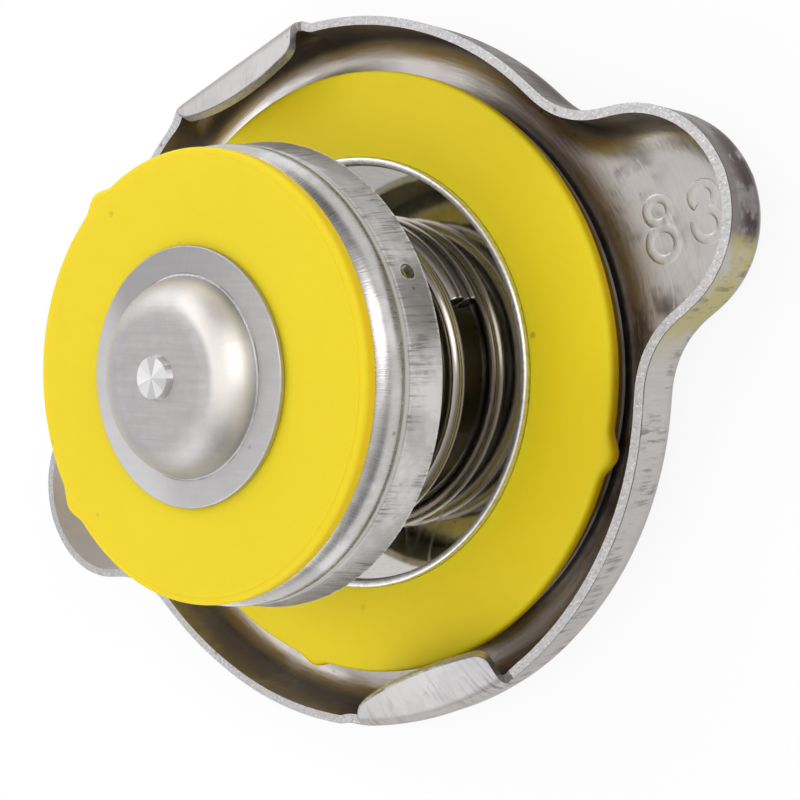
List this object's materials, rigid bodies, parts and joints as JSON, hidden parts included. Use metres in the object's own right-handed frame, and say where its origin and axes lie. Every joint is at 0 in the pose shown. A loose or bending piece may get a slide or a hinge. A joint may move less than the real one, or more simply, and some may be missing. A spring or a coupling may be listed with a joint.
{
  "type": "radiator cap",
  "caption": "Pressed stainless pressure cap for a radiator filler neck: finger ears, folded bayonet tabs, sprung valve cup with a silicone seal, and a domed vacuum valve.",
  "frame": {"origin": "centre of the flat crown disc that the cap stands on", "axes": "+Z along the cap's axis from its top to its valve, +X along the two finger ears"},
  "size_m": [0.076, 0.058, 0.0279],
  "materials": {
    "shell_steel": "satin",
    "gasket_silicone": "matte",
    "seal_silicone": "matte",
    "mirror_steel": "polished",
    "cup_steel": "satin",
    "spring_steel": "polished",
    "vacuum_steel": "polished",
    "inner_steel": "satin"
  },
  "bodies": {
    "shell": {"cap_shell": "shell_steel", "centre_rivet": "inner_steel", "friction_washer": "inner_steel"},
    "turning_stack": {"spring_disc": "inner_steel", "cap_gasket": "gasket_silicone", "spring_plate": "mirror_steel", "guide_post": "inner_steel", "pressure_spring": "spring_steel"},
    "pressure_valve": {"valve_cup": "cup_steel", "valve_hub": "inner_steel", "seal_ferrule": "inner_steel", "valve_seal": "seal_silicone", "vacuum_spring": "spring_steel"},
    "vacuum_valve": {"vacuum_plate": "vacuum_steel", "vacuum_stem": "vacuum_steel", "stem_keeper": "inner_steel"}
  },
  "joints": [
    {"name": "stack_turn", "type": "hinge", "parent": "shell", "child": "turning_stack", "pos_m": [0, 0, 0.004], "axis": [0, 0, 1], "continuous": true},
    {"name": "pressure_lift", "type": "slide", "parent": "turning_stack", "child": "pressure_valve", "axis": [0, 0, -1], "range_m": [0, 0.005], "stiffness_N_per_m": 1800, "springref_m": -0.02, "deforming": ["pressure_spring"]},
    {"name": "vacuum_lift", "type": "slide", "parent": "pressure_valve", "child": "vacuum_valve", "axis": [0, 0, 1], "range_m": [0, 0.002], "stiffness_N_per_m": 500, "springref_m": -0.002, "deforming": ["vacuum_spring"]}
  ]
}
